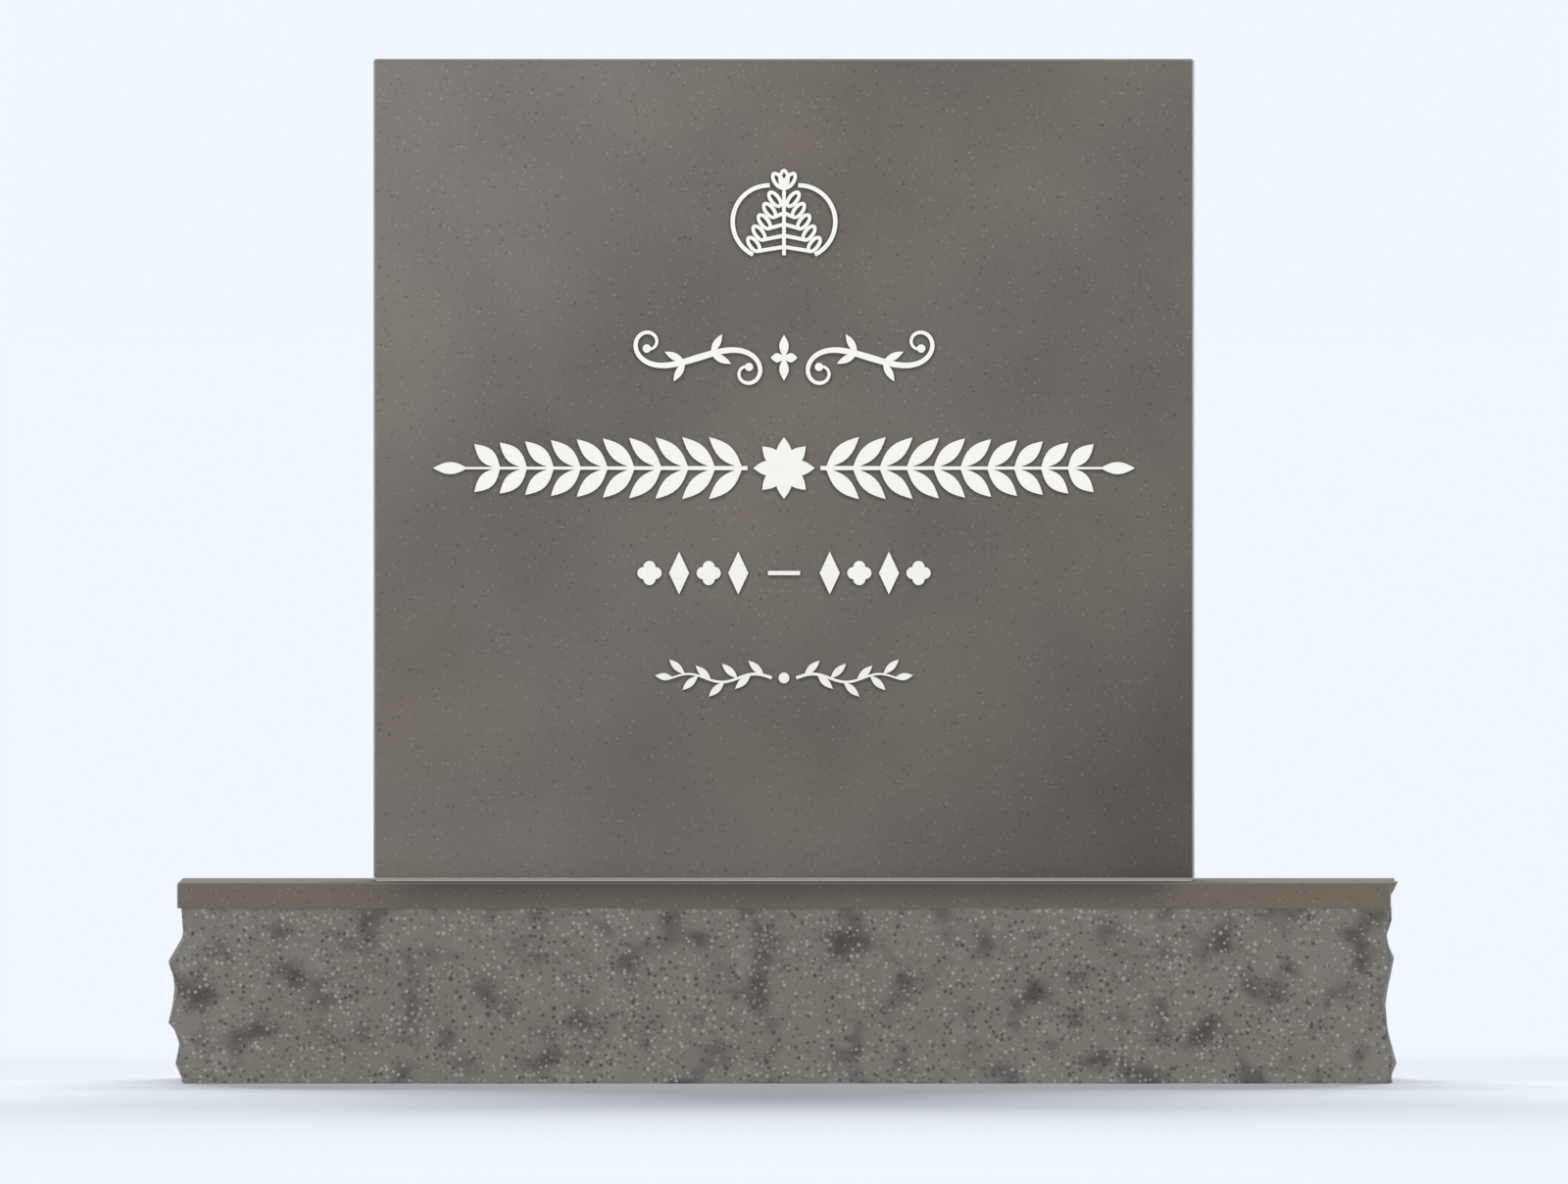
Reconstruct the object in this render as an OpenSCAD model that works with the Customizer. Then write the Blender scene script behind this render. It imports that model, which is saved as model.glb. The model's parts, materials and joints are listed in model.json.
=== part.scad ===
// Upright headstone: a polished stone tablet, bedded and pinned on a two-course stone base, with
// thin raised ornament fixed to its face.
// The origin is the centre of the base's underside. +Z is up and the ornament faces -Y.

/* [Tablet] */
// Width of the tablet
tablet_w = 610; // [560:5:760]
// Height of the tablet
tablet_h = 610; // [560:5:900]
// Thickness of the tablet
tablet_t = 100; // [75:5:200]
// Width of the small bevel along the tablet's edges
tablet_arris = 1.5; // [0.5:0.5:5]

/* [Setting bed] */
// Thickness of the setting compound under the tablet
bed_t = 1; // [0.5:0.5:6]
// How far the bed is raked back from the bevel of the tablet's foot
bed_inset = 0.5; // [0.5:0.5:15]

/* [Base] */
// Width of the base between the sawn ends of its top course
base_w = 900; // [780:5:1400]
// Depth of the base from front to back
base_d = 300; // [250:5:500]
// Thickness of the polished top course
cap_h = 19; // [15:1:40]
// Width of the small bevel along the top course's edges
cap_arris = 1; // [0.5:0.5:3]
// How far the broken lip stands out of the top course's right end
lip_out = 6; // [2:0.5:12]
// Height of the broken lip, down from the top of the base
lip_h = 11; // [6:1:14]
// Height of the rock-faced lower course
block_h = 130; // [80:1:300]

/* [Rock face] */
// Width of one chipped facet along the face
facet_w = 22; // [14:1:40]
// How far the chips swell out from the sawn line, or sink into the stone
relief = 6; // [1:0.5:10]
// Number of the random pattern of chips
chip_seed = 7; // [1:1:99]

/* [Dowels] */
// Diameter of the two dowels that pin the tablet to the base
dowel_d = 16; // [8:1:25]
// Distance between the two dowels
dowel_spacing = 300; // [150:10:450]
// Depth of the dowels in the tablet
dowel_tablet_depth = 90; // [50:5:150]
// Depth of the dowels in the base, from its top
dowel_base_depth = 80; // [60:5:90]
// Adhesive round each dowel
dowel_gap = 0.3; // [0.1:0.1:0.8]

/* [Ornament] */
// Thickness of the raised pieces
raised_t = 2; // [1:0.5:5]
// Height of the emblem's centre above the tablet's foot
emblem_z = 489; // [480:1:500]
// Height of the upper scroll above the tablet's foot
scroll_z = 388; // [384:1:400]
// Height of the garland above the tablet's foot
garland_z = 306; // [300:1:312]
// Height of the lozenge row above the tablet's foot
lozenge_z = 228; // [222:1:232]
// Height of the lower sprigs above the tablet's foot
sprig_z = 150; // [120:1:160]

/* [Emblem] */
// Outer radius of the two arcs round the tree
arc_r = 28.8; // [26:0.2:34]
// Distance from the middle to each arc's centre
arc_shift = 11; // [9:0.5:16]
// Width of the arcs' lines
arc_line = 3.3; // [2:0.1:3.5]
// Width of the tree's lines
line_w = 2.8; // [1.5:0.1:3.5]
// Height of the step from one tier of leaves to the next
tier_h = 8.4; // [8:0.1:10]
// Length of one leaf loop
loop_l = 15; // [12:0.5:16]
// Width of one leaf loop
loop_w = 8.6; // [7.5:0.1:9]
// Distance from the trunk to the middle of the lowest loops
tree_foot = 22.5; // [18:0.5:22.5]
// Distance from the trunk to the middle of the highest loops
tree_head = 6.8; // [6.4:0.1:9]
// How far each twig droops from its loop to the trunk
twig_droop = 3; // [0:0.5:5]

/* [Garland] */
// Width of the whole garland
garland_w = 522; // [460:2:540]
// Length of its longest leaves
laurel_l = 34; // [26:1:36]
// Width of its leaves
laurel_w = 11.5; // [7:0.5:13]
// Distance from one pair of leaves to the next
laurel_pitch = 20; // [18:1:30]
// Length of the leaf at each end
garland_tip_l = 26; // [16:1:34]
// Width of the stems where they start
garland_stem = 3.2; // [2:0.2:4]
// Radius of the rosette in the middle
rosette_r = 23; // [16:1:26]
// Distance from the rosette to the stems
rosette_gap = 4; // [2:0.5:8]

/* [Lozenge row] */
// Width of one lozenge
lozenge_w = 15; // [8:1:18]
// Height of one lozenge
lozenge_h = 32; // [20:1:40]
// Width of one quatrefoil
foil_w = 18; // [10:1:20]
// Distance from one figure of the row to the next
figure_pitch = 22; // [20:1:26]
// Length of the bar in the middle
bar_l = 24; // [12:1:30]
// Height of the bar in the middle
bar_w = 3.2; // [2:0.2:6]

/* [Scroll] */
// Width of the whole upper scroll
scroll_w = 236; // [200:2:300]
// Width of the scroll's line at its thickest
scroll_line = 5; // [3:0.2:6]
// Distance between the two scrolls, from middle to middle
scroll_apart = 128; // [110:2:150]
// Length of the scroll's leaves
scroll_leaf_l = 17; // [10:1:20]
// Width of the scroll's leaves
scroll_leaf_w = 5.5; // [3:0.5:7]
// Height of the bud between the scrolls
bud_h = 34; // [20:1:40]
// Width of the bud between the scrolls
bud_w = 20; // [12:1:24]
// Width of the bud's leaves
bud_leaf_w = 7; // [4:0.5:9]

/* [Sprigs] */
// Width of the whole lower pair of sprigs
sprig_w = 192; // [160:2:240]
// Width of the sprigs' stem
sprig_line = 2.4; // [1.5:0.1:4]
// Length of the sprigs' leaves
sprig_leaf_l = 16; // [10:1:20]
// Width of the sprigs' leaves
sprig_leaf_w = 5.4; // [3:0.2:7]
// Length of the leaf at each end
sprig_tip_l = 14; // [8:1:18]
// Diameter of the berry in the middle
berry_d = 8; // [5:0.5:12]
// Distance from the berry to the stems
berry_gap = 5; // [2:0.5:8]

/* [Hidden] */
$fn = 48;

polished = "#75706A";
rock = "#74716B";
compound = "#B0ADA7";
enamel = "#F3F2ED";
steel = "#B0B2B4";

base_h = block_h + cap_h;
foot_z = base_h + bed_t;
face_y = -tablet_t / 2;

// Height of each row of chips at the two ends, as a share of the block's height
left_rows = [0, 0.12, 0.23, 0.35, 0.56, 0.68, 0.82, 1];
right_rows = [0, 0.12, 0.32, 0.46, 0.71, 0.83, 0.94, 1];
// How far each end stands out at those rows, as a share of the relief
left_out = [-0.3, 0.3, -0.1, 1.2, 0.65, 1.25, -0.5, -0.5];
right_out = [0.3, 0.85, -0.3, -0.45, 0.65, -0.5, 0.4, 0.2];
// How far the long faces stand out at those rows, as a share of the relief
belly_out = [-0.5, 0, 0.35, 0.5, 0.45, 0.35, 0.15, 0];
// Share of the relief by which the chips of each row vary on the long faces
row_play = [0.35, 0.7, 0.9, 1, 1, 0.85, 0.45, 0.05];
// Share of the relief by which the chips of the ends vary
end_play = 0.8;
// Shares of a facet's width and of the block's height by which the inner corners wander
corner_play = 0.28;
row_wander = 0.02;
// Width of the flat rim round the block's top and underside
flat_rim = 30;

// ---- Small helpers ----

function mix(a, b, t) = a + (b - a) * t;
function reversed(list) = [for (i = [len(list) - 1:-1:0]) list[i]];

// A rectangle with its four corners cut off by a, centred on x, from y = 0 up
function arrised_rect(w, h, a) = [
    [-w / 2 + a, 0], [w / 2 - a, 0], [w / 2, a], [w / 2, h - a],
    [w / 2 - a, h], [-w / 2 + a, h], [-w / 2, h - a], [-w / 2, a]
];

// A block with every edge cut off by a, standing on z = 0
module arrised_block(w, d, h, a) {
    intersection() {
        linear_extrude(h) translate([0, -d / 2]) polygon(arrised_rect(w, d, a));
        rotate([90, 0, 0]) linear_extrude(d, center = true) polygon(arrised_rect(w, h, a));
        rotate([90, 0, 90]) linear_extrude(w, center = true) polygon(arrised_rect(d, h, a));
    }
}

// Stands a flat figure on the tablet's face, at a height above the tablet's foot
module raised(z) {
    color(enamel) translate([0, face_y, foot_z + z]) rotate([90, 0, 0]) linear_extrude(raised_t) children();
}

// The dowels' places, or the holes that take them
module at_dowels(sides = [-1, 1]) {
    for (side = sides)
        translate([side * dowel_spacing / 2, 0, base_h - dowel_base_depth]) children();
}

module dowel_holes() {
    at_dowels() cylinder(d = dowel_d + 2 * dowel_gap, h = dowel_base_depth + bed_t + dowel_tablet_depth);
}

// ---- Stones ----

module tablet() {
    color(polished) difference() {
        translate([0, 0, foot_z]) arrised_block(tablet_w, tablet_t, tablet_h, tablet_arris);
        dowel_holes();
    }
}

module setting_bed() {
    inset = tablet_arris + bed_inset;
    color(compound) difference() {
        translate([0, 0, base_h + bed_t / 2])
            cube([tablet_w - 2 * inset, tablet_t - 2 * inset, bed_t], center = true);
        dowel_holes();
    }
}

// The broken lip on the right end of the top course: a wedge whose edge wanders in and out
lip_edge = [0.5, 0.9, 0.6, 1, 0.7, 0.4, 0.8, 0.5, 0.9, 0.6, 1];
// How deep the lip reaches where its edge is farthest in, as a share of its height
lip_least = 0.7;
module broken_lip() {
    last = len(lip_edge) - 1;
    root = base_w / 2 - 2 * cap_arris;
    span = base_d - 2 * cap_arris;
    sections = [for (i = [0:last]) let (y = -span / 2 + span * i / last) [
        [root, y, base_h],
        [base_w / 2 + lip_out * lip_edge[i], y, base_h],
        [base_w / 2, y, base_h - lip_h * mix(lip_least, 1, lip_edge[i])],
        [root, y, base_h - lip_h]
    ]];
    polyhedron(
        points = [for (s = sections) each s],
        faces = concat(
            [[0, 1, 2], [0, 2, 3]],
            [for (i = [0:last - 1], k = [0:3]) let (a = 4 * i + k, b = 4 * i + (k + 1) % 4)
                each [[a, a + 4, b], [b, a + 4, b + 4]]],
            [[4 * last, 4 * last + 2, 4 * last + 1], [4 * last, 4 * last + 3, 4 * last + 2]]
        )
    );
}

module base_cap() {
    color(polished) difference() {
        union() {
            translate([0, 0, block_h - cap_arris])
                arrised_block(base_w, base_d, cap_h + cap_arris, cap_arris);
            broken_lip();
        }
        // The underside keeps a sharp edge, where it lies on the lower course
        translate([0, 0, block_h - cap_arris]) cube([2 * base_w, 2 * base_d, 2 * cap_arris], center = true);
        dowel_holes();
    }
}

// The rock-faced block is a ring of columns round its sides, in rows from bottom to top
front_n = round(base_w / facet_w);
side_n = round(base_d / facet_w);
ring_n = 2 * (front_n + side_n);
row_n = len(left_rows);

// Where column k meets the sawn outline, as shares of the width and the depth from -0.5 to 0.5
function outline_at(k) =
    k < front_n ? [k / front_n - 0.5, -0.5] :
    k < front_n + side_n ? [0.5, (k - front_n) / side_n - 0.5] :
    k < 2 * front_n + side_n ? [0.5 - (k - front_n - side_n) / front_n, 0.5] :
    [-0.5, 0.5 - (k - 2 * front_n - side_n) / side_n];

left_end = concat([0], [for (k = [2 * front_n + side_n:ring_n - 1]) k]);
right_end = [for (k = [front_n:front_n + side_n]) k];

chip = [for (j = [0:row_n - 1]) rands(0, 1, ring_n, chip_seed + j)];
slide = [for (j = [0:row_n - 1]) rands(-1, 1, ring_n, chip_seed + row_n + j)];

// How far an end stands out: as its outline says where its chips are highest, and less elsewhere
function end_out(j, k, out, columns) =
    relief * (out[j] - end_play * (max([for (c = columns) chip[j][c]]) - chip[j][k]));

function rock_point(j, k) =
    let (
        at = outline_at(k),
        inner_row = j > 0 && j < row_n - 1 ? 1 : 0,
        on_left = at[0] <= -0.5,
        on_right = at[0] >= 0.5,
        on_long = abs(at[1]) >= 0.5,
        play = corner_play * facet_w * slide[j][k] * inner_row,
        swell = relief * (belly_out[j] + row_play[j] * (2 * chip[j][k] - 1)),
        share = mix(left_rows[j], right_rows[j], at[0] + 0.5),
        x = on_left ? -end_out(j, k, left_out, left_end) :
            on_right ? end_out(j, k, right_out, right_end) : play,
        y = on_long ? sign(at[1]) * swell : play,
        z = inner_row * row_wander * slide[j][ring_n - 1 - k]
    )
    [at[0] * base_w + x, at[1] * base_d + y, block_h * (share + z)];

module base_block() {
    flat_w = base_w - 2 * flat_rim;
    flat_d = base_d - 2 * flat_rim;
    function level(z) =
        [for (k = [0:ring_n - 1]) let (at = outline_at(k)) [at[0] * flat_w, at[1] * flat_d, z]];
    rock_rows = [for (j = [0:row_n - 1]) each [for (k = [0:ring_n - 1]) rock_point(j, k)]];
    top = (row_n - 1) * ring_n;
    bottom_flat = row_n * ring_n;
    top_flat = bottom_flat + ring_n;
    bottom_mid = top_flat + ring_n;
    top_mid = bottom_mid + 1;
    color(rock) difference() {
        polyhedron(
            points = concat(rock_rows, level(0), level(block_h), [[0, 0, 0], [0, 0, block_h]]),
            faces = [for (k = [0:ring_n - 1]) let (n = (k + 1) % ring_n) each concat(
                [for (j = [0:row_n - 2]) let (a = j * ring_n + k, b = j * ring_n + n)
                    each (chip[j][k] > 0.5
                        ? [[a, a + ring_n, b], [b, a + ring_n, b + ring_n]]
                        : [[a, a + ring_n, b + ring_n], [a, b + ring_n, b]])],
                [
                    [k, n, bottom_flat + n], [k, bottom_flat + n, bottom_flat + k],
                    [bottom_flat + k, bottom_flat + n, bottom_mid],
                    [top + k, top_flat + n, top + n], [top + k, top_flat + k, top_flat + n],
                    [top_flat + k, top_mid, top_flat + n]
                ]
            )]
        );
        dowel_holes();
    }
}

// ---- Dowels ----

module dowel(side) {
    color(steel) at_dowels([side]) cylinder(d = dowel_d, h = dowel_base_depth + bed_t + dowel_tablet_depth);
}

// ---- Flat figures for the ornament ----

function unit(v) = v / norm(v);

// The outline of a ribbon along a path, with a width at each of its points
function ribbon(path, widths) =
    let (
        last = len(path) - 1,
        sides = [for (i = [0:last])
            let (d = unit(path[min(i + 1, last)] - path[max(i - 1, 0)])) [-d[1], d[0]]]
    )
    concat(
        [for (i = [0:last]) path[i] - sides[i] * widths[i] / 2],
        [for (i = [last:-1:0]) path[i] + sides[i] * widths[i] / 2]
    );

// A pointed leaf from the origin along +X
function leaf(l, w, steps = 8) = concat(
    [for (i = [0:steps]) [l * i / steps, -w / 2 * sin(180 * i / steps)]],
    [for (i = [steps - 1:-1:1]) [l * i / steps, w / 2 * sin(180 * i / steps)]]
);

function ellipse(l, w, steps) =
    [for (i = [0:steps - 1]) let (a = 360 * i / steps) [l / 2 * cos(a), w / 2 * sin(a)]];

// An oval ring of even width, centred on the origin, its long axis along X
module oval_ring(l, w, line, steps = 24) {
    polygon(
        concat(ellipse(l, w, steps), ellipse(l - 2 * line, w - 2 * line, steps)),
        [[for (i = [0:steps - 1]) i], [for (i = [0:steps - 1]) steps + i]]
    );
}

// Half of a mirrored figure: side -1 is the left
module on_side(side) {
    if (side < 0) mirror([1, 0]) children();
    else children();
}

// ---- Emblem: an evergreen between two arcs ----

tier_n = 5;
// How steeply the leaf loops rise, and how far the bud's outer loops lean out
loop_tilt = 52;
bud_lean = 34;
// Where the arcs start at the top and end below, round their centres
arc_start = 91;
arc_end = -64;
arc_steps = 30;
// Heights of the trunk's two ends and the bud, in tiers above the emblem's centre
trunk_low = -2.6;
trunk_high = 3;
bud_at = 2.9;

// Middle of the leaf loop of one tier, on the right; tier 0 is the lowest
function loop_at(tier) =
    [mix(tree_foot, tree_head, tier / (tier_n - 1)), tier_h * (tier - (tier_n - 1) / 2)];

module emblem_side(side) {
    on_side(side) for (tier = [0:tier_n - 1]) {
        translate(loop_at(tier)) rotate(loop_tilt) oval_ring(loop_l, loop_w, line_w);
        // A drooping twig from the trunk to the foot of the loop
        foot = loop_at(tier) - (loop_l - line_w) / 2 * [cos(loop_tilt), sin(loop_tilt)];
        twig = [[0, foot[1] + twig_droop], [foot[0] / 2, foot[1] + twig_droop / 2], foot];
        polygon(ribbon(twig, [for (p = twig) line_w]));
    }
}

module emblem_tree() {
    foot = trunk_low * tier_h - twig_droop;
    raised(emblem_z) {
        translate([-line_w / 2, foot]) square([line_w, trunk_high * tier_h - foot]);
        emblem_side(-1);
        emblem_side(1);
        for (lean = [-bud_lean, 0, bud_lean])
            translate([0, bud_at * tier_h]) rotate(90 + lean)
                translate([loop_l / 2, 0]) oval_ring(loop_l, loop_w, line_w);
    }
}

module emblem_arc(side) {
    middle = arc_r - arc_line / 2;
    path = [for (i = [0:arc_steps]) let (a = mix(arc_start, arc_end, i / arc_steps))
        [arc_shift + middle * cos(a), middle * sin(a)]];
    raised(emblem_z) on_side(side) polygon(ribbon(path, [for (p = path) arc_line]));
}

// ---- Upper scroll: two mirrored S-scrolls and a bud ----

scroll_steps = 40;
// How far the line turns on its way from the scroll's middle to its eye, and how late it does so
scroll_turn = 400;
scroll_tightening = 2.6;
// Length of the line from the scroll's middle to one eye
scroll_half_l = 0.385 * scroll_w;
scroll_lean = 17;
// The line's width and the eye's radius at the end, as shares of the line's width in the middle
scroll_taper = 0.4;
scroll_eye = 0.62;
// Where the leaves spring from, along the scroll's middle stretch
scroll_leaf_at = 10;
// How far leaves turn out from the stems that they spring from
leaf_turn = 43;

// Which way the scroll's line runs, at a share of the way from its middle to its eye
function heading(t) = scroll_turn * pow(t, scroll_tightening);

// Half of an S-scroll, which curls ever tighter from the middle to the eye
function half_scroll(l) =
    let (ds = l / scroll_steps)
    [for (i = 0, p = [0, 0]; i <= scroll_steps;
        p = p + ds * [cos(heading((i + 0.5) / scroll_steps)), sin(heading((i + 0.5) / scroll_steps))],
        i = i + 1) p];

module scroll_side(side) {
    half = half_scroll(scroll_half_l);
    path = concat(reversed([for (p = half) -p]), [for (i = [1:scroll_steps]) half[i]]);
    widths = [for (i = [-scroll_steps:scroll_steps])
        scroll_line * mix(1, scroll_taper, abs(i) / scroll_steps)];
    raised(scroll_z) on_side(side) translate([scroll_apart / 2, 0]) rotate(-scroll_lean) {
        polygon(ribbon(path, widths));
        for (end = [-1, 1]) translate(end * half[scroll_steps]) circle(r = scroll_line * scroll_eye);
        for (half_turn = [0, 180], fan = [-1, 1])
            rotate(half_turn) translate([scroll_leaf_at, 0]) rotate(fan * leaf_turn)
                polygon(leaf(scroll_leaf_l, scroll_leaf_w));
    }
}

module scroll_bud() {
    raised(scroll_z) {
        circle(d = bud_leaf_w * 0.85);
        for (half_turn = [0, 180]) {
            rotate(half_turn) polygon(leaf(bud_w / 2, bud_leaf_w));
            rotate(half_turn + 90) polygon(leaf(bud_h / 2, bud_leaf_w));
        }
    }
}

// ---- Garland: a rosette between two laurel sprays ----

petal_n = 8;
// Width of a petal and of the rosette's heart, as shares of its radius
petal_w = 0.5;
heart_w = 0.6;
// Length of the last pair of leaves, as a share of the first pair's
last_leaf_l = 0.72;
// Width of the tip leaf, as a share of the others'
tip_leaf_w = 0.8;
// Width of the stem at its end, as a share of its start, and how far it reaches into the tip leaf
stem_taper = 0.56;
stem_in_leaf = 3;

module garland_rosette() {
    raised(garland_z) {
        circle(d = rosette_r * heart_w);
        for (i = [0:petal_n - 1])
            rotate(i * 360 / petal_n) polygon(leaf(rosette_r, rosette_r * petal_w));
    }
}

module garland_side(side) {
    start = rosette_r + rosette_gap;
    stem_end = garland_w / 2 - garland_tip_l;
    pair_n = floor((stem_end - start) / laurel_pitch);
    first = (start + stem_end - laurel_pitch * pair_n) / 2;
    raised(garland_z) on_side(side) {
        stem = [[start, 0], [stem_end + stem_in_leaf, 0]];
        polygon(ribbon(stem, [garland_stem, garland_stem * stem_taper]));
        translate([stem_end, 0]) polygon(leaf(garland_tip_l, laurel_w * tip_leaf_w));
        for (i = [0:pair_n - 1], fan = [-1, 1])
            translate([first + laurel_pitch * i, 0]) rotate(fan * leaf_turn)
                polygon(leaf(laurel_l * mix(1, last_leaf_l, pow(i / pair_n, 2)), laurel_w));
    }
}

// ---- Lozenge row: lozenges and quatrefoils on either side of a bar ----

figure_n = 4;

module quatrefoil(w) {
    for (turn = [0:90:270]) rotate(turn) translate([w / 4, 0]) circle(d = w / 2);
    square(w / 4, center = true);
}

module lozenge(w, h) {
    polygon([[w / 2, 0], [0, h / 2], [-w / 2, 0], [0, -h / 2]]);
}

module lozenge_bar() {
    raised(lozenge_z) square([bar_l, bar_w], center = true);
}

module lozenge_side(side) {
    raised(lozenge_z) on_side(side) for (i = [0:figure_n - 1])
        translate([bar_l / 2 + figure_pitch * (i + 1), 0]) {
            if (i % 2 == 0) lozenge(lozenge_w, lozenge_h);
            else quatrefoil(foil_w);
        }
}

// ---- Lower sprigs: two olive twigs that meet at a berry ----

sprig_leaf_n = 7;
sprig_steps = 28;
// How far the stem waves up and down, and through how many degrees of a wave it runs
sprig_wave = 3;
sprig_wave_turn = 540;
// Width of the stem at its end, as a share of its start, and how far it reaches into the tip leaf
sprig_taper = 0.6;
sprig_in_leaf = 1.5;
sprig_tip_turn = 8;

// The stem on the right, at a share of its way from the berry to its tip
function sprig_at(t) =
    let (start = berry_d / 2 + berry_gap, end = sprig_w / 2 - sprig_tip_l + sprig_in_leaf)
    [mix(start, end, t), sprig_wave * sin(sprig_wave_turn * t)];

module sprig_berry() {
    raised(sprig_z) circle(d = berry_d);
}

module sprig_side(side) {
    path = [for (i = [0:sprig_steps]) sprig_at(i / sprig_steps)];
    widths = [for (i = [0:sprig_steps]) sprig_line * mix(1, sprig_taper, i / sprig_steps)];
    raised(sprig_z) on_side(side) {
        polygon(ribbon(path, widths));
        translate(path[sprig_steps] - [sprig_in_leaf, 0]) rotate(sprig_tip_turn)
            polygon(leaf(sprig_tip_l, sprig_leaf_w));
        for (i = [0:sprig_leaf_n - 1])
            translate(sprig_at((i + 0.6) / (sprig_leaf_n + 0.6))) rotate((i % 2 == 0 ? 1 : -1) * leaf_turn)
                polygon(leaf(sprig_leaf_l, sprig_leaf_w));
    }
}

// ---- Nodes ----

tablet();
setting_bed();
base_cap();
base_block();
dowel(-1);  // dowel_left
dowel(1);  // dowel_right
emblem_tree();
emblem_arc(-1);  // emblem_arc_left
emblem_arc(1);  // emblem_arc_right
scroll_bud();
scroll_side(-1);  // scroll_left
scroll_side(1);  // scroll_right
garland_rosette();
garland_side(-1);  // garland_left
garland_side(1);  // garland_right
lozenge_bar();
lozenge_side(-1);  // lozenges_left
lozenge_side(1);  // lozenges_right
sprig_berry();
sprig_side(-1);  // sprig_left
sprig_side(1);  // sprig_right
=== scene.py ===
"""The looks of an upright headstone: polished and rock-faced granite, white ornament, studio light.

Metres, +Z up, the ornament faces -Y and the ground is z = 0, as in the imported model.
"""

import json
import math

import bmesh
import bpy
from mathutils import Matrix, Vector, noise


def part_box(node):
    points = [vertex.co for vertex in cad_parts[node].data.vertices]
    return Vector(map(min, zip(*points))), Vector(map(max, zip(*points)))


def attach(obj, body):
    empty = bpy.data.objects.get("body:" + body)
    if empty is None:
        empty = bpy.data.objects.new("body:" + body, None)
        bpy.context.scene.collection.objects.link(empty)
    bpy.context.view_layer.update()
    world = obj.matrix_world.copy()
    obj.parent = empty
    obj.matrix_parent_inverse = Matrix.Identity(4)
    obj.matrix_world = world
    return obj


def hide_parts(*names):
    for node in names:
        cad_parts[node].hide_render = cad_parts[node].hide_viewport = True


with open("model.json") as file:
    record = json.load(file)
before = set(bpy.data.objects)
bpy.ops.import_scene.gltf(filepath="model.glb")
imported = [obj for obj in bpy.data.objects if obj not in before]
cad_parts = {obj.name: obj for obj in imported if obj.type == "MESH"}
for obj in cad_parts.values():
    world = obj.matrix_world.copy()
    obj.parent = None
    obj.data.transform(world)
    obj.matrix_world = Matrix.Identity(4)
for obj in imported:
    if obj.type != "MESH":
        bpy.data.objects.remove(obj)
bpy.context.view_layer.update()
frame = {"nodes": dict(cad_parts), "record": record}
nodes = frame["nodes"]

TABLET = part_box("tablet")
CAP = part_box("base_cap")
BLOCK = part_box("base_block")
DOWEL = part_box("dowel_right")
MM = 0.001


# ---- Colours ----

def linear(red, green, blue):
    """A screen colour, 0 to 255, as the linear values that shaders take."""
    def one(level):
        share = level / 255
        return share / 12.92 if share <= 0.04045 else ((share + 0.055) / 1.055) ** 2.4
    return (one(red), one(green), one(blue), 1.0)


# The polished granite: its two grounds, the base's warmer one, and its pale and dark grains
BROWN_GREY = linear(105, 97, 87)
PURPLE_GREY = linear(101, 93, 87)
UMBER_GREY = linear(100, 91, 76)
CHALKY = linear(150, 147, 137)
SOOTY = linear(50, 46, 43)

# What the tablet's ground goes towards where painted light makes it lighter, and where painted shade makes it
# darker
PAINTED_LIGHT_COLOUR = (1.0, 0.95, 0.86, 1.0)
SHADE = (0.012, 0.004, 0.004, 1.0)

# Honed stone on bevels and tops, and painted highlights on the bevel at the right and on the one at the foot
HONED = linear(144, 141, 135)
RIGHT_BEVEL_HIGHLIGHT = linear(196, 193, 187)
FOOT_BEVEL_HIGHLIGHT = linear(216, 213, 207)

# The rock-faced granite: its ground, its blotches and its grains
BROKEN_GREY = linear(118, 114, 106)
BROKEN_DARK = linear(75, 68, 65)
BROKEN_LIGHT = linear(136, 132, 125)
MICA = linear(52, 49, 46)
CRYSTAL = linear(172, 169, 162)

# The setting compound: pale, and paler still as a painted highlight line under the tablet's foot
PALE_COMPOUND_AND_HIGHLIGHT = linear(196, 193, 187)
OFF_WHITE = linear(245, 242, 234)
STEEL = linear(176, 178, 180)
PALE = linear(240, 247, 255)


# ---- Patterns ----

# Each cloud is its size, its detail, its roughness and, in metres, where it starts in the noise
CLOUDS = (130 * MM, 1.0, 0.4, (19, 23, 1))
VEIL = (80 * MM, 1.0, 0.5, (16, 11, 12))
FINE_GRAIN = (1.6 * MM, 1.0, 0.5)
GRAIN_CROWDS = (30 * MM, 1.0, 0.5, (6, 4, 8))
DRIFT = (110 * MM, 2.0, 0.5)
DARK_BLOTCHES = (32 * MM, 1.5, 0.5, (48, 39, 9))
LIGHT_BLOTCHES = (18 * MM, 1.0, 0.5, (9, 3, 4))
CRYSTAL_CROWDS = (20 * MM, 1.0, 0.5, (1, 5, 3))
PITS = (3.5 * MM, 3.0, 0.6)
SAND = (1.2 * MM, 2.0, 0.6)
ENAMEL_TINT = (20 * MM, 2.0, 0.5)
ENAMEL_SKIN = (2.5 * MM, 1.0, 0.4)
DRAWN_STEEL = (2 * MM, 2.0, 0.5)

# Each kind of grain is the spacing of its cells, its largest radius and, in metres, where it starts
PALE_GRAINS = (4.4 * MM, 1.3 * MM, 0)
DARK_GRAINS = (4.4 * MM, 1.4 * MM, 5)
MICA_GRAINS = (4.4 * MM, 2.5 * MM, 1)
CRYSTAL_GRAINS = (4.2 * MM, 2.1 * MM, 4)


# ---- Shader maths ----

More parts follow.
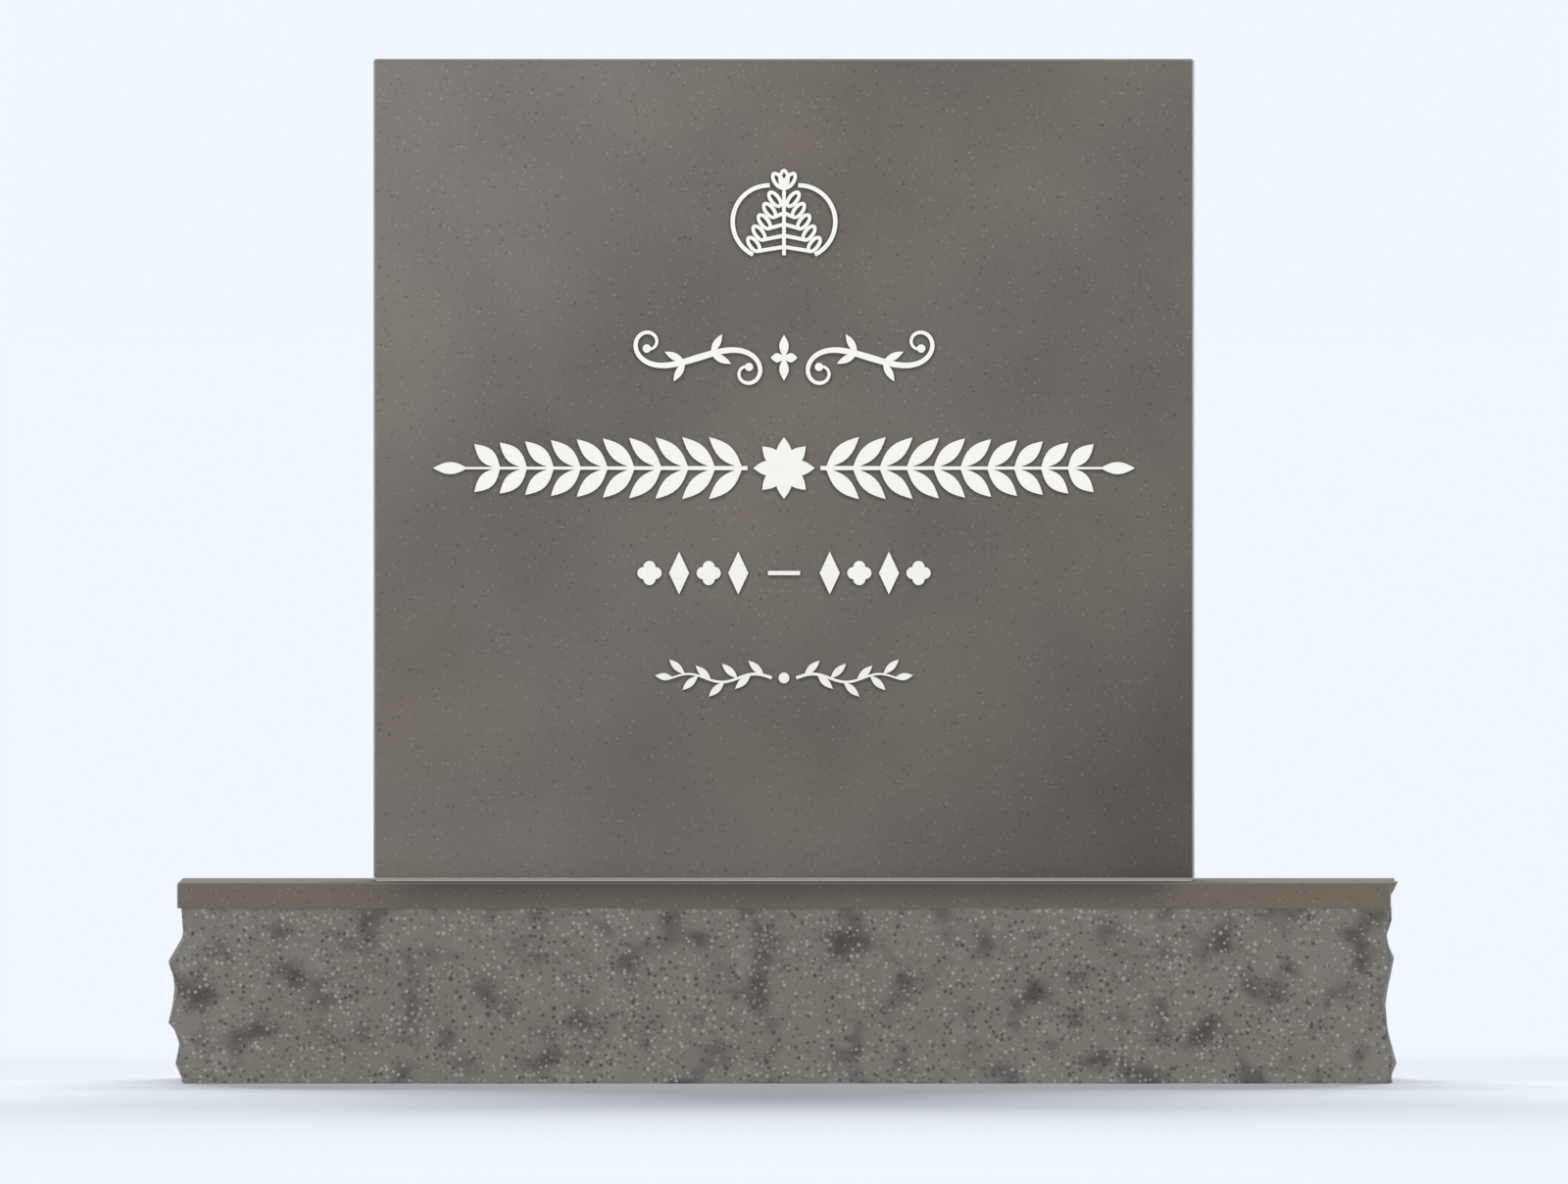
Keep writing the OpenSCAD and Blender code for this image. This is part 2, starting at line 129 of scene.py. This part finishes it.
class Amount:
    """A number or colour that varies over a surface. Arithmetic on it adds Math nodes."""

    def __init__(self, shading, socket):
        self.shading = shading
        self.socket = socket

    def maths(self, operation, *values):
        return self.shading.node("ShaderNodeMath", {"operation": operation}, dict(enumerate(values)))

    def __add__(self, other):
        return self.maths("ADD", self, other)

    __radd__ = __add__

    def __sub__(self, other):
        return self.maths("SUBTRACT", self, other)

    def __rsub__(self, other):
        return self.maths("SUBTRACT", other, self)

    def __mul__(self, other):
        return self.maths("MULTIPLY", self, other)

    __rmul__ = __mul__

    def __truediv__(self, other):
        return self.maths("DIVIDE", self, other)

    def __gt__(self, other):
        return self.maths("GREATER_THAN", self, other)

    def __lt__(self, other):
        return self.maths("LESS_THAN", self, other)

    def magnitude(self):
        return self.maths("ABSOLUTE", self)

    def most(self, other):
        return self.maths("MAXIMUM", self, other)

    def ease(self, low, high):
        """Rises smoothly from 0 at low to 1 at high, or falls where low is above high."""
        if low > high:
            return 1 - self.ease(high, low)
        return self.shading.node("ShaderNodeMapRange", {"interpolation_type": "SMOOTHSTEP"},
                                 {"Value": self, "From Min": low, "From Max": high})


class Shading:
    """The shader nodes of a material or of the world."""

    def __init__(self, owner):
        owner.use_nodes = True
        self.tree = owner.node_tree
        self.tree.nodes.clear()

    def node(self, kind, settings=None, inputs=None, output=0):
        """A node with its settings, then the values or links of its inputs. Gives one of its outputs."""
        made = self.tree.nodes.new(kind)
        for name, value in (settings or {}).items():
            setattr(made, name, value)
        for name, value in (inputs or {}).items():
            if isinstance(value, Amount):
                self.tree.links.new(value.socket, made.inputs[name])
            else:
                made.inputs[name].default_value = value
        return Amount(self, made.outputs[output]) if made.outputs else None

    def mix(self, share, first, second):
        """From the first colour to the second as share goes from 0 to 1."""
        return self.node("ShaderNodeMix", {"data_type": "RGBA"}, {0: share, 6: first, 7: second}, output=2)

    def layered(self, colour, *layers):
        """A colour with others laid over it in turn, each with the share that it covers."""
        for share, layer in layers:
            colour = self.mix(share, colour, layer)
        return colour

    def scaled(self, colour, factor):
        start = colour if isinstance(colour, Amount) else colour[:3]
        return self.node("ShaderNodeVectorMath", {"operation": "SCALE"}, {0: start, 3: factor})

    def varied(self, colour, cloud, swing):
        """A colour that a cloud makes up to a swing lighter and darker."""
        return self.scaled(colour, 1 - swing + cloud * (2 * swing))


class Finish(Shading):
    """A material under construction, in the place of the model: one unit is a metre."""

    def __init__(self, name):
        self.material = bpy.data.materials.new(name)
        super().__init__(self.material)
        self.place = self.node("ShaderNodeTexCoord", output="Object")
        self.x, self.y, self.z = self.along_axes(self.place)

    def along_axes(self, vector):
        return [self.node("ShaderNodeSeparateXYZ", inputs={0: vector}, output=axis) for axis in "XYZ"]

    def shifted(self, start):
        return self.node("ShaderNodeVectorMath", {"operation": "ADD"}, {0: self.place, 1: start})

    # Patterns and places, all from 0 to 1

    def cloud(self, size, detail, roughness, start=(0, 0, 0)):
        """Soft noise, whose patches are about size across."""
        return self.node("ShaderNodeTexNoise", None,
                         {"Vector": self.shifted(start), "Scale": 1 / size,
                          "Detail": detail, "Roughness": roughness})

    def grains(self, spacing, radius, start, share):
        """Round grains of up to a radius, one to a cell of the spacing, in a share of the cells."""
        cells = self.node("ShaderNodeTexVoronoi", {"feature": "F1"},
                          {"Vector": self.shifted((start, start, start)), "Scale": 1 / spacing})
        of_cell = cells.socket.node.outputs
        away = Amount(self, of_cell["Distance"])
        draws = self.node("ShaderNodeSeparateColor", inputs={0: Amount(self, of_cell["Color"])})
        chance, strength, size = (Amount(self, draw) for draw in draws.socket.node.outputs)
        reach = radius / spacing
        grain = (away / (0.6 + size * 0.4)).ease(reach, reach * 0.4)
        return grain * (chance < share) * (0.25 + strength * 0.75)

    def shade_under_raised(self, reach):
        """Painted shade: 1 close under something raised on the upright front, which shades it from light
        above, 0 in the open.
        """
        up_and_forward = self.node("ShaderNodeCombineXYZ", None, {"X": 0.0, "Y": -0.75, "Z": 0.66})
        in_the_open = self.node("ShaderNodeAmbientOcclusion", {"samples": 8},
                                {"Distance": reach, "Normal": up_and_forward}, output="AO")
        return 1 - in_the_open

    def bevels(self):
        """1 on the bevels and 0 on the faces that are square to the axes."""
        normal = self.node("ShaderNodeNewGeometry", output="True Normal")
        along = [part.magnitude() for part in self.along_axes(normal)]
        squareness = along[0].most(along[1]).most(along[2])
        return squareness.ease(0.97, 0.9)

    def top_of(self, box):
        """1 on the flat top of a piece and 0 below its bevels."""
        top = box[1].z
        return self.z.ease(top - 0.4 * MM, top - 0.1 * MM)

    # Shaders

    def bump(self, height, distance, strength=1.0):
        return self.node("ShaderNodeBump", None,
                         {"Height": height, "Distance": distance, "Strength": strength})

    def shader(self, colour, roughness, others=None):
        inputs = {"Base Color": colour, "Roughness": roughness} | (others or {})
        return self.node("ShaderNodeBsdfPrincipled", None, inputs)

    def dull_shader(self, colour):
        """Honed or broken stone, which neither a lamp nor the sky whitens at a low angle."""
        return self.shader(colour, 0.9, {"Specular IOR Level": 0.04})

    def covered_with(self, shader):
        self.node("ShaderNodeOutputMaterial", None, {"Surface": shader})
        return self.material

    def surface(self, colour, roughness, others=None):
        return self.covered_with(self.shader(colour, roughness, others))

    def blend(self, share, first, second):
        """From the first shader to the second as share goes from 0 to 1."""
        return self.covered_with(self.node("ShaderNodeMixShader", None, {0: share, 1: first, 2: second}))


# ---- Polished stone ----

BEVEL_REACH = 2 * MM        # the bevels lie within this reach of the tablet's edges
PAINTED_SHADOW_REACH = 4 * MM        # how far under the ornament the painted shadow reaches
UNSHADOWED_FOOT = 10 * MM        # the tablet's lowest strip, where there is no ornament and no painted shadow

# The tablet's painted light and shade from its upper left corner, at 0, to its lower right corner, at 1:
# lighter at the upper left and darker at the lower right, as if lit from the upper left
PAINTED_LIGHT_ALONG = [(0, 0.78), (0.14, 0.68), (0.24, 0.60), (0.38, 0.46), (0.46, 0.51),
              (0.66, 0.44), (0.75, 0.43), (0.88, 0.30), (1, 0.20)]


def polished_colour(finish, painted_light=1.0, umber=0.0):
    """Grey granite, half brownish and half purplish in soft clouds, with fine pale and dark grains.

    A painted light above 1 paints the ground lighter and one below 1 paints it darker, as painted light and
    shade. The dark grains follow it, and the pale ones follow it by half. The umber makes the ground warmer
    and more even.
    """
    colour = finish.mix(finish.cloud(*CLOUDS).ease(0.32, 0.68), PURPLE_GREY, BROWN_GREY)
    if umber:
        colour = finish.mix(umber, colour, UMBER_GREY)
    colour = finish.varied(colour, finish.cloud(*VEIL), 0.18)
    colour = finish.varied(colour, finish.cloud(*FINE_GRAIN), 0.04)
    # Painted light and shade on the ground
    if isinstance(painted_light, Amount):
        lighter = (painted_light - 1).most(0) * 0.13
        darker = (1 - painted_light).most(0)
        colour = finish.layered(colour, (lighter, PAINTED_LIGHT_COLOUR), (darker, SHADE))
    crowds = finish.cloud(*GRAIN_CROWDS) * 1.1 + 0.2
    pale = finish.grains(*PALE_GRAINS, crowds) * (0.5 - umber * 0.2)
    dark = finish.grains(*DARK_GRAINS, crowds) * (0.6 + umber * 0.5)
    return finish.layered(colour, (pale, finish.scaled(CHALKY, (1 + painted_light) * 0.5)),
                          (dark, finish.scaled(SOOTY, painted_light)))


def tablet_painted_light(finish):
    """Painted light and shade on the tablet's stone: lighter at its upper left and darker at its lower right,
    as if lit from the upper left, with a painted lift towards its foot against the ledge's shade.
    """
    low, high = TABLET
    across = (finish.x - low.x) / (high.x - low.x)
    down = (high.z - finish.z) / (high.z - low.z)
    along = finish.node("ShaderNodeFloatCurve", None, {"Value": (across + down) / 2})
    mapping = along.socket.node.mapping
    curve = mapping.curves[0]
    first, *between, last = PAINTED_LIGHT_ALONG
    curve.points[0].location = first
    curve.points[1].location = last
    for spot in between:
        curve.points.new(*spot)
    mapping.update()
    # The foot is painted lighter, against the shade near the ledge
    foot = down.ease(0.84, 1.0)
    return along * (1.86 + down * 0.32 + foot * 0.74)


def tablet_stone():
    finish = Finish("polished_tablet_stone")
    low, high = TABLET
    bevels = finish.bevels()
    # Honed bevels, with a painted highlight on the bevel at the right and on the one at the foot
    honed_bevels_and_highlights = finish.layered(HONED, (finish.x > high.x - BEVEL_REACH, RIGHT_BEVEL_HIGHLIGHT),
                                  (finish.z < low.z + BEVEL_REACH, FOOT_BEVEL_HIGHLIGHT))
    colour = finish.mix(bevels, polished_colour(finish, tablet_painted_light(finish)), honed_bevels_and_highlights)
    on_face = (finish.y < low.y + 0.5 * MM) * (finish.z > low.z + UNSHADOWED_FOOT)
    # A painted shadow on the stone just under each raised piece of the ornament
    painted_shadow = finish.shade_under_raised(PAINTED_SHADOW_REACH).ease(0.04, 0.5) * on_face
    colour = finish.scaled(colour, 1 - painted_shadow * 0.6)
    polished = finish.shader(colour, 0.2 + bevels * 0.36)
    # The flat top is honed, and painted lighter as painted light where the low lamps leave it dark
    honed = finish.dull_shader(finish.mix(0.4, colour, HONED))
    return finish.blend(finish.top_of(TABLET), polished, honed)


def cap_stone():
    """The base's top course: a painted shadow of the tablet on it in front of the tablet, honed and painted
    lighter on its ledge, and broken at its right lip.
    """
    finish = Finish("polished_base_stone")
    low, high = CAP
    tablet_end = TABLET[1].x
    # A painted shadow of the tablet on the cap, across the tablet's width and darker towards the top
    across = finish.x.magnitude().ease(tablet_end + 10 * MM, tablet_end - 50 * MM)
    up = (finish.z - low.z) / (high.z - low.z)
    tablet_shadow = across * (0.08 + up * 0.51)
    colour = finish.scaled(polished_colour(finish, umber=0.7), 1 - tablet_shadow)
    lip = finish.x.ease(high.x - 5.2 * MM, high.x - 4.7 * MM)
    colour = finish.layered(colour, (finish.bevels() * 0.5, HONED), (lip, broken_colour(finish)))
    # The ledge is honed, and painted lighter, partly as a painted reflection of the pale surroundings
    ledge = finish.top_of(CAP)
    honed = finish.dull_shader(finish.mix(ledge * 0.62, colour, HONED))
    return finish.blend(ledge.most(lip), finish.shader(colour, 0.2), honed)


# ---- The other finishes ----

def broken_colour(finish):
    """Rock-faced granite: duller, with coarser grains and soft dark and light blotches."""
    ground = finish.varied(BROKEN_GREY, finish.cloud(*DRIFT), 0.02)
    dark = finish.cloud(*DARK_BLOTCHES).ease(0.48, 0.78)
    light = finish.cloud(*LIGHT_BLOTCHES).ease(0.58, 0.74) * 0.4
    crowds = finish.cloud(*CRYSTAL_CROWDS) * 1.3
    mica = finish.grains(*MICA_GRAINS, crowds + 0.08) * 0.82
    crystal = finish.grains(*CRYSTAL_GRAINS, crowds + 0.05) * 0.78
    return finish.layered(ground, (dark, BROKEN_DARK), (light, BROKEN_LIGHT), (mica, MICA),
                          (crystal, CRYSTAL))


def rock_stone():
    finish = Finish("rock_faced_stone")
    height = finish.z / BLOCK[1].z
    colour = finish.scaled(broken_colour(finish), 1.065 - height * 0.095)
    pits = finish.bump(finish.cloud(*PITS), 0.6 * MM, 0.7)
    return finish.surface(colour, 0.85, {"Normal": pits})


def setting_compound():
    finish = Finish("setting_compound")
    sand = finish.cloud(*SAND)
    colour = finish.varied(PALE_COMPOUND_AND_HIGHLIGHT, sand, 0.15)
    return finish.surface(colour, 0.9, {"Normal": finish.bump(sand, 0.3 * MM)})


def white_enamel():
    finish = Finish("white_enamel")
    tint = finish.cloud(*ENAMEL_TINT)
    colour = finish.varied(OFF_WHITE, tint, 0.02)
    skin = finish.bump(finish.cloud(*ENAMEL_SKIN), 0.04 * MM)
    return finish.surface(colour, 0.32 + tint * 0.1, {"Normal": skin})


def dowel_steel():
    finish = Finish("dowel_steel")
    colour = finish.varied(STEEL, finish.cloud(*DRAWN_STEEL), 0.1)
    return finish.surface(colour, 0.4, {"Metallic": 1.0})


def dress(name, material):
    nodes[name].data.materials.clear()
    nodes[name].data.materials.append(material)


def ease_edges(name):
    """Softly rounds the edges of a raised piece, as enamel flows over them."""
    weld = nodes[name].modifiers.new("weld", "WELD")
    weld.merge_threshold = 0.01 * MM
    bevel = nodes[name].modifiers.new("eased_edges", "BEVEL")
    bevel.width = 0.35 * MM
    bevel.segments = 2
    bevel.limit_method = "ANGLE"
    bevel.angle_limit = math.radians(50)


# ---- The rock face ----

HOLES_REACH_X = DOWEL[1].x + 30 * MM
HOLES_REACH_Y = DOWEL[1].y + 30 * MM
RAGGED_END = 25 * MM        # this near the ends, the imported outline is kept
CUTS = 6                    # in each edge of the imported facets
SOFTENINGS = 2


def outside(place, rim):
    """Whether a place is on the broken outside, and not on the flat top or foot or in a dowel's hole."""
    low, high = BLOCK
    upright = low.z + rim < place.z < high.z - rim
    return upright and (abs(place.x) > HOLES_REACH_X or abs(place.y) > HOLES_REACH_Y)


def broken(face):
    return abs(face.normal.z) < 0.9 and outside(face.calc_center_median(), 0.2 * MM)


def near_end(place):
    return abs(place.x) > BLOCK[1].x - RAGGED_END


def weathering(place):
    """How far the broken face is worn back: shallow dishes, and a fine grain on them."""
    dishes = max(0.0, 0.35 + noise.noise(place * 38 + Vector((4, 9, 2)))) * 1.1 * MM
    grain = max(0.0, 0.4 + noise.noise(place * 170)) * 0.5 * MM
    end_share = 0.4 if near_end(place) else 1.0
    top_share = min(1.0, (BLOCK[1].z - place.z) / (15 * MM))
    return (dishes + grain) * end_share * top_share


def rock_face():
    """The lower course with its chips worked finer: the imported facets, cut up and weathered inwards."""
    shape = bmesh.new()
    shape.from_mesh(nodes["base_block"].data)
    bmesh.ops.remove_doubles(shape, verts=shape.verts, dist=0.02 * MM)
    chipped = [edge for edge in shape.edges if any(broken(face) for face in edge.link_faces)]
    bmesh.ops.subdivide_edges(shape, edges=chipped, cuts=CUTS, use_grid_fill=True)
    bmesh.ops.triangulate(shape, faces=[face for face in shape.faces if len(face.verts) > 4])
    free = [corner for corner in shape.verts if outside(corner.co, 0.5 * MM)]
    soft = [corner for corner in free if not near_end(corner.co)]
    for _ in range(SOFTENINGS):
        bmesh.ops.smooth_vert(shape, verts=soft, factor=0.5,
                              use_axis_x=True, use_axis_y=True, use_axis_z=True)
    shape.normal_update()
    for corner in free:
        outward = Vector((corner.normal.x, corner.normal.y, 0))
        if outward.length > 0.3:
            corner.co -= outward.normalized() * weathering(corner.co)
    shape.normal_update()
    mesh = bpy.data.meshes.new("rock_face")
    shape.to_mesh(mesh)
    shape.free()
    mesh.shade_smooth()
    mesh.set_sharp_from_angle(angle=math.radians(40))
    mesh.materials.append(rock_stone())
    piece = in_scene("rock_face", mesh)
    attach(piece, "root")
    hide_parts("base_block")


# ---- Stage, light and camera ----

def towards(turn, rise):
    """The direction that lies so many degrees left of the front, and so many up."""
    level = math.cos(math.radians(rise))
    turn = math.radians(turn)
    return Vector((-math.sin(turn) * level, -math.cos(turn) * level, math.sin(math.radians(rise))))


# Each lamp is the direction towards it, its strength and its spread in degrees
LAMPS = {
    "front_left_light": (towards(40, 6), 1.40, 10),
    "front_right_light": (towards(-40, 6), 1.10, 10),
    "back_left_light": (towards(170, 21), 1.50, 24),
    "back_right_light": (towards(-170, 21), 1.50, 24),
}
AMBIENT = (0.13, 0.13, 0.13)
lamps_on_floor = sum(strength * source.z for source, strength, spread in LAMPS.values()) / math.pi
FLOOR_PAINT = tuple(seen / (ambient + lamps_on_floor) for seen, ambient in zip(PALE, AMBIENT)) + (1.0,)
FLOOR_REACH = 400

# The camera: its distance from the tablet's face, how wide it sees there, how many degrees it looks
# down, and how far below the tablet's top it aims
VIEW_DISTANCE = 40.0
VIEW_WIDTH = 1.16544
VIEW_RISE = 0.355
AIM_BELOW_TOP = 396.1 * MM


def in_scene(name, data):
    thing = bpy.data.objects.new(name, data)
    bpy.context.scene.collection.objects.link(thing)
    return thing


def point_back(thing, direction):
    """Turns a lamp or camera so that it looks back along a direction."""
    thing.rotation_mode = "QUATERNION"
    thing.rotation_quaternion = direction.to_track_quat("Z", "Y")


def stage_floor():
    """A wide pale floor, of the background's own colour where the lamps reach it."""
    mesh = bpy.data.meshes.new("floor")
    corners = [(x * FLOOR_REACH, y * FLOOR_REACH, 0) for x, y in ((-1, -1), (1, -1), (1, 1), (-1, 1))]
    mesh.from_pydata(corners, [], [(0, 1, 2, 3)])
    mesh.materials.append(Finish("floor_paint").surface(FLOOR_PAINT, 0.9, {"Specular IOR Level": 0.0}))
    in_scene("floor", mesh)


def sun(name, source, strength, spread):
    lamp = bpy.data.lights.new(name, "SUN")
    lamp.energy = strength
    lamp.angle = math.radians(spread)
    point_back(in_scene(name, lamp), source)


def pale_world():
    """The background's colour to the camera and in reflections, and plain dimmer light on all else."""
    world = bpy.data.worlds.new("studio")
    bpy.context.scene.world = world
    studio = Shading(world)
    to_camera = studio.node("ShaderNodeLightPath", output="Is Camera Ray")
    reflected = studio.node("ShaderNodeLightPath", output="Is Glossy Ray")
    colour = studio.mix(to_camera.most(reflected), AMBIENT + (1.0,), PALE)
    light = studio.node("ShaderNodeBackground", None, {"Color": colour})
    studio.node("ShaderNodeOutputWorld", None, {"Surface": light})


def camera():
    """A long lens square to the face, just high enough to see along the base's ledge."""
    view = bpy.data.cameras.new("camera")
    view.sensor_width = 36.0
    view.lens = view.sensor_width * VIEW_DISTANCE / VIEW_WIDTH
    view.clip_start = 0.1
    view.clip_end = 1000
    back = towards(0, VIEW_RISE)
    holder = in_scene("camera", view)
    holder.location = Vector((0, TABLET[0].y, TABLET[1].z - AIM_BELOW_TOP)) + back * VIEW_DISTANCE
    point_back(holder, back)
    bpy.context.scene.camera = holder


camera()
pale_world()
for lamp_name, lamp_values in LAMPS.items():
    sun(lamp_name, *lamp_values)
stage_floor()
bpy.context.scene.view_settings.view_transform = "Standard"

dress("tablet", tablet_stone())
dress("base_cap", cap_stone())
dress("setting_bed", setting_compound())
steel = dowel_steel()
dress("dowel_left", steel)
dress("dowel_right", steel)
enamel = white_enamel()
for part in frame["record"]["subparts"]:
    if part["material_slot"] == "white_enamel":
        dress(part["node"], enamel)
        ease_edges(part["node"])
rock_face()
